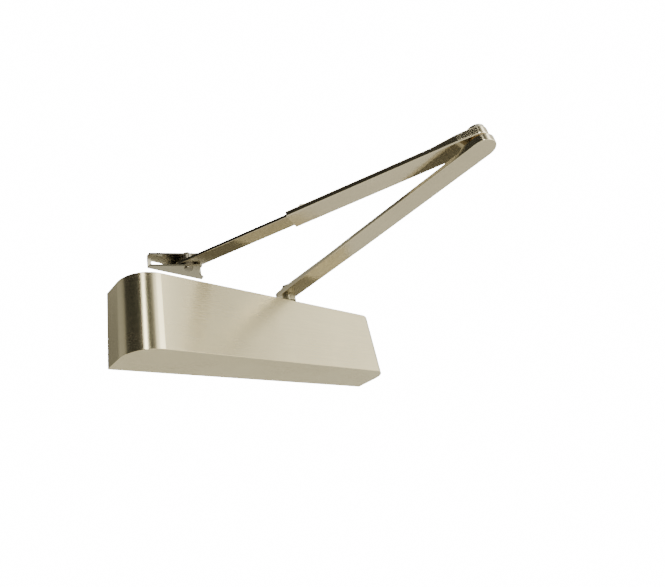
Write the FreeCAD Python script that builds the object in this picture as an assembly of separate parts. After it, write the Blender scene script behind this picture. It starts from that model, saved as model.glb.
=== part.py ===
import FreeCAD, Part
import math
import os

# Overhead door closer: a rack and pinion hydraulic body on a door plate, a sheet cover,
# a main arm, a telescopic forearm and a U-shaped frame bracket (the shoe).
# Millimetres. X runs along the closer, -Y points away from the door, Z is up.
# The origin is the middle of the four door fixing holes, on the back of the mounting plate.

V = FreeCAD.Vector
X_DIR = V(1, 0, 0)
Y_DIR = V(0, 1, 0)
Z_DIR = V(0, 0, 1)

# Clearances
running = 0.05          # radial, between pieces that turn or slide on each other
seat_gap = 0.02         # radial, between pieces pressed or screwed together
face_gap = 0.1          # between flat faces that turn past each other
screw_hole_gap = 0.3    # radial, round a screw's shank
over = 1.0              # how far a cutting shape reaches past the face it cuts
tiny = 0.001            # how near two measures are to be the same

# Cover
cover_length = 276.0
cover_height = 66.0
cover_depth = 44.0
cover_wall = 1.2
cover_left_corner_r = 24.5
cover_right_corner_r = 18.0
cover_edge_r = 0.7
cover_slot_half_width = 10.0
cover_slot_reach = 10.2     # in front of the spindle
cover_slot_corner_r = 3.0

# Mounting plate on the door
plate_t = 4.0
plate_side_gap = 2.3    # from each end of the plate to the cover's inner face
plate_edge_gap = 0.8    # from the plate's long edges to the cover's inner face
plate_corner_r = 5.0
door_hole_r = 2.75
door_hole_inset_x = 5.2
door_hole_inset_z = 7.0
door_head_r = 5.2

# Brackets that hold the cover at its two ends
bracket_t = 1.5
bracket_height = 18.0
bracket_foot = 10.0
bracket_depth = 14.0
bracket_gap = 0.4       # to the cover's inner face
bracket_corner_r = 0.4
bracket_screw_r = 2.0
bracket_head_r = 3.5
bracket_head_t = 2.4

# Cast body
body_from_plate_left = 10.5     # from the plate's end to the lug's end
body_from_plate_right = 16.5
spindle_from_end = 71.6         # from the body's valve end to the spindle
body_depth = 38.5
barrel_wall = 3.3
bore_r = 13.2
lug_length = 12.0
lug_t = 8.0
lug_edge_gap = 7.0      # from the lugs to the plate's long edges
tower_length = 52.0
tower_corner_r = 6.0
end_block_length = 15.0
end_block_edge_gap = 6.0
block_corner_r = 4.0
left_block_inset = 2.0
left_block_corner_r = 8.0
rib_t = 3.0
rib_count = 3
rib_front = 9.0         # from the bore's axis to the rib's front
rib_inset = 2.0
rib_corner_r = 6.0
body_screw_r = 2.5
body_screw_z = 17.0
body_head_r = 4.25
body_head_t = 5.0
screw_point_gap = 0.2   # from a screw's point to the plate's back
key_depth_share = 0.55  # of a socket head's height
key_width_share = 0.95  # of a socket head's radius

# Spindle
journal_r = 7.0
bearing_r = 11.0
bearing_clear = 0.3     # from the bore to the bearing
cap_r = 13.0
cap_length = 6.5
cap_flange_t = 1.5
cap_flange_reach = 1.5
cap_to_cover = 3.3
shaft_to_cover = 0.8
neck_r = 5.2
neck_clear = 0.3
square_width = 8.4
square_corner_r = 4.8
square_below_hub = 0.7
collar_r = 6.5
collar_t = 2.8

# Rack and pinion
gear_module = 1.0
gear_teeth = 18
gear_width = 18.0
pressure_angle = 20.0
root_share = 1.25       # root depth as a share of the module
backlash = 0.12
flank_steps = 4
opening_angle = 170.0   # turn of the spindle from closed to fully open

# Piston
piston_head_left = 18.3
piston_head_right = 16.0
oil_gap = 2.1           # from the piston to the valve end plug, door closed
slot_gap = 1.2          # from the pinion to the window's ends
window_back_gap = 0.3
ring_width = 3.0
ring_depth = 1.8
ring_side_gap = 0.05
ring_stand = 0.01       # how far a piston ring stands proud of the piston
left_ring_inset = 6.0
right_ring_inset = 9.0
spring_nose_length = 10.0
check_ball_r = 2.2
check_passage_r = 1.4
check_pocket_gap = 0.4
check_seat_depth = 7.5
check_clip_t = 1.0
check_clip_inset = 1.6
check_clip_width = 1.2

# Closing spring, its seat and adjuster
spring_wire_r = 1.9
spring_mean_r = 10.9
spring_turns = 9
spring_gap = 0.1        # from the spring's ends to their seats
round_sides = 8         # sides of the section of the coiled wire and of the seals
pilot_gap = 0.2
pilot_length = 6.5
spring_seat_t = 6.0
spring_seat_side_gap = 0.4
seat_to_plug = 5.0
plug_left_length = 11.0
plug_seal_r = 1.0
plug_groove_width = 2.4
plug_groove_inset = 3.0
plug_recess = 4.0
spanner_hole_r = 1.8
spanner_hole_depth = 4.0
spanner_hole_out = 2.4  # from the bore's wall to the middle of a spanner hole
adjuster_r = 4.0
adjuster_collar = 2.0
adjuster_head_r = 5.8
adjuster_head_t = 5.6
adjuster_head_gap = 0.3
adjuster_past_seat = 12.0
adjuster_key_width = 6.0
adjuster_key_depth = 3.6

# Shaft seals
shaft_seal_r = 1.0
shaft_groove_inset = 1.5
shaft_groove_height = 2.3

# Valve screws in the end block
valve_r = 2.5
valve_length = 12.0
valve_proud = 1.2
valve_front = 11.5      # speed valves, from the bore's axis away from the door
valve_rise = 16.0
backcheck_back = 2.0
backcheck_rise = 18.5
valve_tip_length = 2.4
valve_tip_r = 0.8
valve_tip_gap = 0.2
valve_seal_inset = 5.0
valve_seal_r = 0.6
valve_groove_half = 0.7
valve_slot_width = 1.0
valve_slot_depth = 1.2
gallery_r = 4.5
gallery_length = 30.0
passage_r = 1.2

# Main arm
arm_gap = 17.1          # from the cover's top to the arm's underside
arm_length = 237.3      # between pivots
arm_t = 3.5
arm_hub_t = 5.2
arm_elbow_t = 6.0
arm_hub_half_width = 9.3
arm_hub_reach = 15.0    # from the spindle to the hub's end
arm_half_width = 10.7
arm_elbow_half_width = 10.4
arm_wide_at = 102.0     # from the spindle to the widest place
arm_hub_flat = 16.0     # from the spindle to the start of the taper
arm_hub_end = 77.0      # from the spindle to the end of the taper
arm_step_length = 4.0
arm_edge_r = 0.9
arm_screw_r = 3.0
arm_screw_length = 12.0
arm_screw_head_width = 10.0
arm_screw_head_t = 4.0
arm_thread_depth = 13.0
arm_washer_r = 8.0
arm_washer_t = 1.5

# Elbow
elbow_shoulder_r = 4.0
bush_wall = 1.0
bush_flange_r = 6.6
bush_flange_t = 2.7
elbow_head_r = 7.6
elbow_head_t = 2.6
elbow_head_gap = 0.3
elbow_head_edge_r = 0.8
elbow_key_width = 5.0
elbow_key_depth = 3.0
elbow_thread_depth = 5.2
elbow_thread_gap = 0.4

# Forearm
forearm_angle = 24.93   # from the door's normal towards -X
forearm_length = 263.2  # between pivots, at the present setting
sleeve_length = 160.0
sleeve_width = 20.0
sleeve_nose_r = 8.4
sleeve_nose_taper = 15.0
sleeve_t = 5.2
sleeve_wall = 1.0
sleeve_edge_r = 1.2
sleeve_nose_t = 7.9
sleeve_nose_length = 27.0
rod_width = 15.0
rod_t = 3.0
rod_side_gap = 0.15
rod_edge_r = 0.5
rod_end_past_pin = 9.0
rod_end_corner_r = 2.5
rod_overlap = 80.0      # rod inside the sleeve, at the present setting
sleeve_cavity_start = 26.0
clamp_from_mouth = 12.0
clamp_r = 2.0
clamp_pad_r = 5.0
clamp_pad_t = 2.2
clamp_head_width = 7.0
clamp_head_t = 3.0

# Shoe
shoe_length = 51.8
shoe_back_from_pin = 13.6
shoe_left_past_pin = 31.5
shoe_sheet_t = 1.6
shoe_height = 13.5
shoe_bottom_below_rod = 3.1
shoe_slot_length = 12.0
shoe_slot_width = 4.8
shoe_slot_rise = 6.0    # from the shoe's bottom to the slot's middle
shoe_slot_inset = 9.0   # from the shoe's end to the slot's middle
shoe_bend_share = 0.8   # of the sheet's thickness
ear_left_depth = 5.0
ear_right_depth = 5.2
ear_right_lean = 0.6
ear_tip_out = 6.2       # from the pin to the ear's tip, away from the frame
ear_tip_left = 4.0      # from the pin along the ear's tip
ear_tip_mid = 7.6
ear_tip_right = 9.2
ear_tip_bulge = 0.6
ear_tip_back = 2.4
ear_notch_right = 11.8
ear_notch_back = 2.6
shoe_pin_r = 2.5
shoe_pin_head_r = 3.9
shoe_pin_head_t = 1.2
shoe_pin_head_edge_r = 0.5
pin_past_ear = 1.8
spacer_r = 5.2
clip_r = 4.6
clip_groove_r = 1.9
clip_t = 0.8
clip_above = 0.1
clip_mouth_half = 1.4

# Worked out from the sizes above
inner_length = cover_length - 2 * cover_wall
inner_height = cover_height - 2 * cover_wall
plate_length = inner_length - 2 * plate_side_gap
plate_height = inner_height - 2 * plate_edge_gap
body_left = -plate_length / 2 + body_from_plate_left + lug_length
body_right = plate_length / 2 - body_from_plate_right - lug_length
spindle_x = body_right - spindle_from_end
body_front = -plate_t - body_depth
barrel_r = bore_r + barrel_wall
axis_y = body_front + barrel_r
lug_half_height = plate_height / 2 - lug_edge_gap
end_block_half_height = plate_height / 2 - end_block_edge_gap
cap_top = inner_height / 2 - cap_to_cover
tower_top = cap_top - cap_flange_t
bearing_start = bore_r + bearing_clear
bearing_end = tower_top - cap_length
shaft_bottom = -inner_height / 2 + shaft_to_cover
pitch_r = gear_module * gear_teeth / 2
tip_r = pitch_r + gear_module
tooth_pitch = math.pi * gear_module
travel = math.radians(opening_angle) * pitch_r
piston_r = bore_r - running
pilot_r = spring_mean_r - spring_wire_r - pilot_gap
window_left = spindle_x - tip_r - slot_gap
window_right = spindle_x + tip_r + slot_gap + travel
piston_left = window_left - piston_head_left
piston_right = window_right + piston_head_right
ring_places = (piston_left + left_ring_inset, piston_right - right_ring_inset)
check_seat_x = piston_right - check_seat_depth
plug_right_face = piston_right + oil_gap
plug_left_face = body_left + plug_left_length
seat_back = plug_left_face + seat_to_plug
seat_front = seat_back + spring_seat_t
valve_seal_x = body_right - valve_seal_inset
valve_places = {
    "closing_valve": (axis_y - valve_front, valve_rise),
    "latching_valve": (axis_y - valve_front, -valve_rise),
    "backcheck_valve": (axis_y + backcheck_back, backcheck_rise),
}
cover_top = cover_height / 2
arm_z = cover_top + arm_gap
hub_top = arm_z + arm_hub_t
elbow_y = axis_y - arm_length
elbow_top = arm_z + arm_elbow_t
sleeve_z = elbow_top + face_gap + bush_flange_t
sleeve_top = sleeve_z + sleeve_t
nose_top = sleeve_z + sleeve_nose_t
bush_r = elbow_shoulder_r + running + bush_wall
rod_z = sleeve_z + sleeve_wall + (sleeve_t - 2 * sleeve_wall - rod_t) / 2
rod_top = rod_z + rod_t
clamp_y = sleeve_length - clamp_from_mouth
forearm_dir = V(-math.sin(math.radians(forearm_angle)), math.cos(math.radians(forearm_angle)), 0)
elbow = V(spindle_x, elbow_y, 0)
shoe_pin_at = elbow + forearm_dir * forearm_length
shoe_back_y = shoe_pin_at.y + shoe_back_from_pin
shoe_left = shoe_pin_at.x - shoe_left_past_pin
shoe_right = shoe_left + shoe_length
shoe_bottom = rod_z - shoe_bottom_below_rod
shoe_top = shoe_bottom + shoe_height
door_hole_places = [
    (side * (plate_length / 2 - door_hole_inset_x), level * (plate_height / 2 - door_hole_inset_z))
    for side in (-1, 1) for level in (-1, 1)
]
body_screw_places = [
    (x, level * body_screw_z)
    for x in (body_left - lug_length / 2, body_right + lug_length / 2) for level in (-1, 1)
]
bracket_screw_x = inner_length / 2 - bracket_gap - bracket_t - bracket_foot / 2


def box(x0, x1, y0, y1, z0, z1):
    """Block between two corners."""
    return Part.makeBox(x1 - x0, y1 - y0, z1 - z0, V(x0, y0, z0))


def rod_x(x0, x1, y, z, r):
    """Round bar along X."""
    return Part.makeCylinder(r, x1 - x0, V(x0, y, z), X_DIR)


def rod_y(y0, y1, x, z, r):
    """Round bar along Y."""
    return Part.makeCylinder(r, y1 - y0, V(x, y0, z), Y_DIR)


def rod_z_at(z0, z1, x, y, r):
    """Round bar along Z."""
    return Part.makeCylinder(r, z1 - z0, V(x, y, z0), Z_DIR)


def hexagon(centre, direction, across_flats, height):
    """Hexagonal bar from centre along direction."""
    side = V(0, 0, 1) if abs(direction.z) < 0.5 else V(1, 0, 0)
    other = direction.cross(side)
    radius = across_flats / math.sqrt(3)
    corners = []
    for i in range(7):
        turn = math.radians(60 * i)
        corners.append(centre + side * (radius * math.cos(turn)) + other * (radius * math.sin(turn)))
    return Part.Face(Part.makePolygon(corners)).extrude(direction * height)


def ring_x(x0, x1, y, z, outer, inner):
    """Washer or bush along X."""
    return rod_x(x0, x1, y, z, outer).cut(rod_x(x0 - over, x1 + over, y, z, inner))


def ring_z(z0, z1, x, y, outer, inner):
    """Washer or bush along Z."""
    return rod_z_at(z0, z1, x, y, outer).cut(rod_z_at(z0 - over, z1 + over, x, y, inner))


def line(a, b):
    return Part.LineSegment(a, b).toShape()


def arc(a, through, b):
    return Part.Arc(a, through, b).toShape()


def plate_from(edges, height):
    """Flat plate with a closed outline of lines and arcs, thickened upwards."""
    return Part.Face(Part.Wire(edges)).extrude(Z_DIR * height)


def rounded_block(x0, x1, y0, y1, z0, z1, radius, direction):
    """Block with the four edges along one direction rounded."""
    block = box(x0, x1, y0, y1, z0, z1)
    edges = [e for e in block.Edges if abs(abs(e.tangentAt(e.FirstParameter).dot(direction)) - 1) < 1e-6]
    return block.makeFillet(radius, edges)


def edges_at_z(shape, z, skip_straight_at=None):
    """Edges that lie in a level plane, leaving out those on one line of constant Y."""
    found = []
    for edge in shape.Edges:
        bound = edge.BoundBox
        level = abs(bound.ZMin - z) < tiny and abs(bound.ZMax - z) < tiny
        on_line = skip_straight_at is not None and abs(bound.YMin - skip_straight_at) < tiny \
            and abs(bound.YMax - skip_straight_at) < tiny
        if level and not on_line:
            found.append(edge)
    return found


def rim_edges(shape, low, skip_straight_at):
    """Edges above a level between upper and side faces, leaving out those on one line of constant Y."""
    found = []
    for edge in shape.Edges:
        bound = edge.BoundBox
        on_line = abs(bound.YMin - skip_straight_at) < tiny and abs(bound.YMax - skip_straight_at) < tiny
        if bound.ZMin < low or on_line:
            continue
        faces = shape.ancestorsOfType(edge, Part.Face)
        lifts = sorted(abs(face.normalAt(*middle_of(face)).z) for face in faces)
        if lifts[0] < tiny and lifts[1] > tiny:
            found.append(edge)
    return found


def middle_of(face):
    u0, u1, v0, v1 = face.ParameterRange
    return (u0 + u1) / 2, (v0 + v1) / 2


def round_section(centre, out, along, r):
    """Closed outline of a round section, as a polygon with a flat on each side."""
    corners = []
    for i in range(round_sides + 1):
        turn = 2 * math.pi * (i + 0.5) / round_sides
        corners.append(centre + out * (r * math.cos(turn)) + along * (r * math.sin(turn)))
    return Part.makePolygon(corners)


def seal_ring(centre, direction, mean_r, r):
    """O-ring about a direction."""
    out = Z_DIR if abs(direction.z) < 0.5 else X_DIR
    section = Part.Face(round_section(centre + out * mean_r, out, direction, r))
    return section.revolve(centre, direction, 360)


def cover_outline(inset, back_y, z):
    """Plan outline of the cover, moved inwards by inset, closed at back_y."""
    half = cover_length / 2 - inset
    front = -cover_depth + inset
    left_r = cover_left_corner_r - inset
    right_r = cover_right_corner_r - inset
    left_k = left_r * (1 - math.sqrt(0.5))
    right_k = right_r * (1 - math.sqrt(0.5))
    return [
        line(V(-half, back_y, z), V(-half, front + left_r, z)),
        arc(V(-half, front + left_r, z), V(-half + left_k, front + left_k, z), V(-half + left_r, front, z)),
        line(V(-half + left_r, front, z), V(half - right_r, front, z)),
        arc(V(half - right_r, front, z), V(half - right_k, front + right_k, z), V(half, front + right_r, z)),
        line(V(half, front + right_r, z), V(half, back_y, z)),
        line(V(half, back_y, z), V(-half, back_y, z)),
    ]


def make_cover():
    outer = plate_from(cover_outline(0, 0, -cover_top), cover_height)
    soft = edges_at_z(outer, -cover_top, 0) + edges_at_z(outer, cover_top, 0)
    outer = outer.makeFillet(cover_edge_r, soft)
    hollow = plate_from(cover_outline(cover_wall, over, -inner_height / 2), inner_height)
    slot = rounded_block(spindle_x - cover_slot_half_width, spindle_x + cover_slot_half_width,
                         axis_y - cover_slot_reach, cover_slot_corner_r + over,
                         inner_height / 2 - over, cover_top + over, cover_slot_corner_r, Z_DIR)
    return outer.cut(hollow).cut(slot)


def make_mounting_plate():
    half_x, half_z = plate_length / 2, plate_height / 2
    plate = rounded_block(-half_x, half_x, -plate_t, 0, -half_z, half_z, plate_corner_r, Y_DIR)
    low, high = -plate_t - over, over
    for x, z in door_hole_places:
        sink = Part.makeCone(door_head_r, door_hole_r, door_head_r - door_hole_r,
                             V(x, -plate_t, z), Y_DIR)
        plate = plate.cut(rod_y(low, high, x, z, door_hole_r)).cut(sink)
    for x, z in body_screw_places:
        plate = plate.cut(rod_y(low, high, x, z, body_screw_r))
    for side in (-1, 1):
        plate = plate.cut(rod_y(low, high, side * bracket_screw_x, 0, bracket_screw_r))
    return plate


def make_cover_brackets():
    outside = inner_length / 2 - bracket_gap
    half_z = bracket_height / 2
    foot = box(outside - bracket_foot - bracket_t, outside, -plate_t - bracket_t, -plate_t, -half_z, half_z)
    tongue = rounded_block(outside - bracket_t, outside, -plate_t - bracket_depth, -plate_t,
                           -half_z, half_z, bracket_corner_r, Z_DIR)
    bracket = foot.fuse(tongue).removeSplitter()
    hole = rod_y(-plate_t - bracket_t - over, -plate_t + over, bracket_screw_x, 0, bracket_screw_r + seat_gap)
    bracket = bracket.cut(hole)
    return Part.makeCompound([bracket, bracket.mirror(V(0, 0, 0), X_DIR)])


def socket_screw(x, y_seat, z, thread_r, head_r, head_t):
    """Cap screw that enters +Y from a seat at y_seat and ends just short of the plate's back."""
    screw = rod_y(y_seat, -screw_point_gap, x, z, thread_r)
    head = rod_y(y_seat - head_t, y_seat, x, z, head_r)
    key = hexagon(V(x, y_seat - head_t, z), Y_DIR, head_r * key_width_share, head_t * key_depth_share)
    return screw.fuse(head).cut(key)


def make_body_screws():
    seat = -plate_t - lug_t
    return Part.makeCompound([socket_screw(x, seat, z, body_screw_r - seat_gap, body_head_r, body_head_t)
                              for x, z in body_screw_places])


def make_bracket_screws():
    seat = -plate_t - bracket_t
    return Part.makeCompound([socket_screw(side * bracket_screw_x, seat, 0, bracket_screw_r - seat_gap,
                                           bracket_head_r, bracket_head_t) for side in (-1, 1)])


def make_cylinder_body():
    back = -plate_t
    body = rod_x(body_left, body_right, axis_y, 0, barrel_r)
    base = rounded_block(body_left - lug_length, body_right + lug_length, back - lug_t, back,
                         -lug_half_height, lug_half_height, block_corner_r, Y_DIR)
    tower = rounded_block(spindle_x - tower_length / 2, spindle_x + tower_length / 2, body_front, back,
                          -tower_top, tower_top, tower_corner_r, Z_DIR)
    right_block = rounded_block(body_right - end_block_length, body_right, body_front, back,
                                -end_block_half_height, end_block_half_height, block_corner_r, X_DIR)
    left_half = lug_half_height - left_block_inset
    left_block = rounded_block(body_left, body_left + end_block_length, body_front, back,
                               -left_half, left_half, left_block_corner_r, X_DIR)
    body = body.fuse([base, tower, right_block, left_block])
    first = body_left + end_block_length
    last = spindle_x - tower_length / 2
    rib_half = lug_half_height - rib_inset
    for i in range(rib_count):
        x = first + (i + 1) * (last - first) / (rib_count + 1)
        rib = rounded_block(x - rib_t / 2, x + rib_t / 2, axis_y - rib_front, back - lug_t / 2,
                            -rib_half, rib_half, rib_corner_r, X_DIR)
        body = body.fuse(rib)
    for y, z in valve_places.values():
        gallery = rod_x(body_right - end_block_length - gallery_length, body_right - over, y, z, gallery_r)
        body = body.fuse(gallery)
    body = body.cut(rod_x(body_left - over, body_right + over, axis_y, 0, bore_r))
    body = body.cut(rod_z_at(-tower_top - over, tower_top + over, spindle_x, axis_y, bearing_r))
    for side in (-1, 1):
        low, high = sorted((side * bearing_end, side * (tower_top + over)))
        body = body.cut(rod_z_at(low, high, spindle_x, axis_y, cap_r))
    for y, z in valve_places.values():
        mouth = body_right - valve_length
        body = body.cut(rod_x(mouth, body_right + over, y, z, valve_r + running))
        body = body.cut(rod_x(mouth - gallery_length, mouth, y, z, passage_r))
    for x, z in body_screw_places:
        body = body.cut(rod_y(back - lug_t - over, over, x, z, body_screw_r + screw_hole_gap))
    return body.removeSplitter()


def make_bearing(side):
    low, high = sorted((side * bearing_start, side * bearing_end))
    return ring_z(low, high, spindle_x, axis_y, bearing_r - seat_gap, journal_r + running)


def make_bearing_cap(side):
    """Screwed ring that holds a bearing and carries the shaft seal."""
    inside = bearing_end + seat_gap
    cap = rod_z_at(inside, tower_top, spindle_x, axis_y, cap_r - seat_gap)
    flange = hexagon(V(spindle_x, axis_y, tower_top), Z_DIR, 2 * (cap_r + cap_flange_reach), cap_flange_t)
    cap = cap.fuse(flange)
    cap = cap.cut(rod_z_at(0, cap_top + over, spindle_x, axis_y, neck_r + neck_clear))
    groove_low = inside + shaft_groove_inset
    groove_r = neck_r + 2 * shaft_seal_r + face_gap
    cap = cap.cut(rod_z_at(groove_low, groove_low + shaft_groove_height, spindle_x, axis_y, groove_r))
    return cap if side > 0 else cap.mirror(V(0, 0, 0), Z_DIR)


def make_shaft_seals():
    z = bearing_end + seat_gap + shaft_groove_inset + shaft_groove_height / 2
    mean_r = neck_r + running + shaft_seal_r
    return Part.makeCompound([seal_ring(V(spindle_x, axis_y, side * z), Z_DIR, mean_r, shaft_seal_r)
                              for side in (-1, 1)])


def plug_seal_groove(face_x, direction):
    """Groove for the O-ring near the inner face of a plug, as a cutting ring."""
    near = face_x + direction * plug_groove_inset
    a, b = sorted((near, near + direction * plug_groove_width))
    return ring_x(a, b, axis_y, 0, bore_r + over, bore_r - 2 * plug_seal_r)


def spanner_holes(face_x, direction):
    a, b = sorted((face_x, face_x + direction * spanner_hole_depth))
    out = bore_r - spanner_hole_out
    return [rod_x(a, b, axis_y, side * out, spanner_hole_r) for side in (-1, 1)]


def make_valve_end_plug():
    plug = rod_x(plug_right_face, body_right, axis_y, 0, bore_r - seat_gap)
    plug = plug.cut(plug_seal_groove(plug_right_face, 1))
    return plug.cut(spanner_holes(body_right, -1))


def make_spring_end_plug():
    plug = rod_x(body_left, plug_left_face, axis_y, 0, bore_r - seat_gap)
    plug = plug.cut(plug_seal_groove(plug_left_face, -1))
    plug = plug.cut(rod_x(body_left - over, plug_left_face + over, axis_y, 0, adjuster_r + running))
    recess_r = adjuster_r + adjuster_collar + running
    plug = plug.cut(rod_x(plug_left_face - plug_recess, plug_left_face + over, axis_y, 0, recess_r))
    return plug.cut(spanner_holes(body_left, 1))


def make_plug_seals():
    mean_r = bore_r - plug_seal_r - seat_gap
    offset = plug_groove_inset + plug_groove_width / 2
    places = (plug_left_face - offset, plug_right_face + offset)
    return Part.makeCompound([seal_ring(V(x, axis_y, 0), X_DIR, mean_r, plug_seal_r - seat_gap)
                              for x in places])


def make_spring_adjuster():
    face = body_left - adjuster_head_gap
    screw = rod_x(face, seat_front + adjuster_past_seat, axis_y, 0, adjuster_r)
    head = rod_x(face - adjuster_head_t, face, axis_y, 0, adjuster_head_r)
    collar = rod_x(plug_left_face - plug_recess + face_gap, plug_left_face - face_gap, axis_y, 0,
                   adjuster_r + adjuster_collar)
    key = hexagon(V(face - adjuster_head_t, axis_y, 0), X_DIR, adjuster_key_width, adjuster_key_depth)
    return screw.fuse([head, collar]).cut(key)


def make_spring_seat():
    seat = rod_x(seat_back, seat_front, axis_y, 0, bore_r - spring_seat_side_gap)
    pilot_end = seat_front + pilot_length
    pilot = rod_x(seat_front, pilot_end, axis_y, 0, pilot_r)
    return seat.fuse(pilot).cut(rod_x(seat_back - over, pilot_end + over, axis_y, 0, adjuster_r + running))


def make_closing_spring():
    length = piston_left - seat_front - 2 * (spring_wire_r + spring_gap)
    helix = Part.makeHelix(length / spring_turns, length, spring_mean_r)
    section = round_section(V(spring_mean_r, 0, 0), X_DIR, Z_DIR, spring_wire_r)
    coil = Part.Wire(helix).makePipeShell([section], True, True)
    coil.rotate(V(0, 0, 0), Y_DIR, 90)
    coil.translate(V(seat_front + spring_wire_r + spring_gap, axis_y, 0))
    return coil


def rack_gap(centre_x):
    """Space between two rack teeth, cut through the piston's full height."""
    slope = math.tan(math.radians(pressure_angle))
    tip_y = axis_y - pitch_r + gear_module
    root_y = axis_y - pitch_r - root_share * gear_module
    half_root = tooth_pitch / 4 - root_share * gear_module * slope
    half_over = tooth_pitch / 4 + (gear_module + over) * slope
    corners = [
        V(centre_x - half_root, root_y, -bore_r), V(centre_x + half_root, root_y, -bore_r),
        V(centre_x + half_over, tip_y + over, -bore_r), V(centre_x - half_over, tip_y + over, -bore_r),
        V(centre_x - half_root, root_y, -bore_r),
    ]
    return Part.Face(Part.makePolygon(corners)).extrude(Z_DIR * 2 * bore_r)


def make_piston():
    piston = rod_x(piston_left, piston_right, axis_y, 0, piston_r)
    nose = rod_x(piston_left - spring_nose_length, piston_left, axis_y, 0, pilot_r)
    piston = piston.fuse(nose)
    rack_tip_y = axis_y - pitch_r + gear_module
    window = box(window_left, window_right, rack_tip_y, axis_y + tip_r + window_back_gap, -bore_r, bore_r)
    piston = piston.cut(window)
    # A gear tooth points at the rack at rest, so a rack gap is centred on the spindle.
    first = math.ceil((window_left + tooth_pitch / 2 - spindle_x) / tooth_pitch)
    last = math.floor((window_right - tooth_pitch / 2 - spindle_x) / tooth_pitch)
    piston = piston.cut([rack_gap(spindle_x + i * tooth_pitch) for i in range(first, last + 1)])
    for x in ring_places:
        groove = ring_x(x - ring_side_gap, x + ring_width + ring_side_gap, axis_y, 0, bore_r + over,
                        piston_r - ring_depth)
        piston = piston.cut(groove)
    passage = rod_x(window_right - over, piston_right + over, axis_y, 0, check_passage_r)
    pocket = rod_x(check_seat_x, piston_right + over, axis_y, 0, check_ball_r + check_pocket_gap)
    return piston.cut(passage).cut(pocket)


def make_piston_rings():
    return Part.makeCompound([ring_x(x, x + ring_width, axis_y, 0, piston_r + ring_stand,
                                     piston_r - ring_depth + seat_gap) for x in ring_places])


def make_check_ball():
    reach = math.sqrt(check_ball_r ** 2 - check_passage_r ** 2)
    return Part.makeSphere(check_ball_r, V(check_seat_x + reach + seat_gap, axis_y, 0))


def make_check_clip():
    x = piston_right - check_clip_inset
    outer = check_ball_r + check_pocket_gap - seat_gap
    return ring_x(x, x + check_clip_t, axis_y, 0, outer, outer - check_clip_width)


def involute(base_r, r):
    """Angle swept by the involute of base_r at radius r."""
    alpha = math.acos(base_r / r)
    return math.tan(alpha) - alpha


def gear_outline(z):
    """Closed outline of the pinion's involute teeth."""
    base_r = pitch_r * math.cos(math.radians(pressure_angle))
    root_r = pitch_r - root_share * gear_module
    half_tooth = math.pi / (2 * gear_teeth) - backlash / (2 * pitch_r) + involute(base_r, pitch_r)
    start = -math.pi / 2

    def at(r, angle):
        return V(spindle_x + r * math.cos(angle), axis_y + r * math.sin(angle), z)

    radii = [base_r + (tip_r - base_r) * i / flank_steps for i in range(flank_steps + 1)]
    edges = []
    for tooth in range(gear_teeth):
        middle = start + 2 * math.pi * tooth / gear_teeth
        rise = [at(r, middle - half_tooth + involute(base_r, r)) for r in radii]
        fall = [at(r, middle + half_tooth - involute(base_r, r)) for r in reversed(radii)]
        left_foot = at(root_r, middle - half_tooth)
        right_foot = at(root_r, middle + half_tooth)
        next_foot = at(root_r, middle + 2 * math.pi / gear_teeth - half_tooth)
        rise_curve = Part.BSplineCurve()
        rise_curve.interpolate(rise)
        fall_curve = Part.BSplineCurve()
        fall_curve.interpolate(fall)
        edges.append(line(left_foot, rise[0]))
        edges.append(rise_curve.toShape())
        edges.append(arc(rise[-1], at(tip_r, middle), fall[0]))
        edges.append(fall_curve.toShape())
        edges.append(line(fall[-1], right_foot))
        edges.append(arc(right_foot, at(root_r, middle + math.pi / gear_teeth), next_foot))
    return edges


def make_pinion_shaft():
    gear = plate_from(gear_outline(-gear_width / 2), gear_width)
    journal_top = bearing_end - face_gap
    journal = rod_z_at(-journal_top, journal_top, spindle_x, axis_y, journal_r)
    shoulder = arm_z - collar_t
    neck = rod_z_at(-cap_top, shoulder, spindle_x, axis_y, neck_r)
    half = square_width / 2
    square = box(spindle_x - half, spindle_x + half, axis_y - half, axis_y + half,
                 shaft_bottom, hub_top - square_below_hub)
    square = square.common(rod_z_at(shaft_bottom, hub_top, spindle_x, axis_y, square_corner_r))
    seat = rod_z_at(shoulder, arm_z, spindle_x, axis_y, square_corner_r)
    shaft = gear.fuse([journal, neck, square, seat]).removeSplitter()
    return shaft.cut(rod_z_at(hub_top - arm_thread_depth, hub_top, spindle_x, axis_y, arm_screw_r))


def make_spindle_collar():
    return ring_z(arm_z - collar_t, arm_z, spindle_x, axis_y, collar_r, square_corner_r + seat_gap)


def arm_outline(z):
    """Plan outline of the main arm, from the hub to the elbow."""
    sx, ey = spindle_x, elbow_y
    hub, wide, end = arm_hub_half_width, arm_half_width, arm_elbow_half_width
    hub_y = axis_y + arm_hub_reach - hub
    wide_y = axis_y - arm_wide_at
    return [
        line(V(sx - hub, hub_y, z), V(sx - wide, wide_y, z)),
        line(V(sx - wide, wide_y, z), V(sx - end, ey, z)),
        arc(V(sx - end, ey, z), V(sx, ey - end, z), V(sx + end, ey, z)),
        line(V(sx + end, ey, z), V(sx + wide, wide_y, z)),
        line(V(sx + wide, wide_y, z), V(sx + hub, hub_y, z)),
        arc(V(sx + hub, hub_y, z), V(sx, hub_y + hub, z), V(sx - hub, hub_y, z)),
    ]


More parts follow.
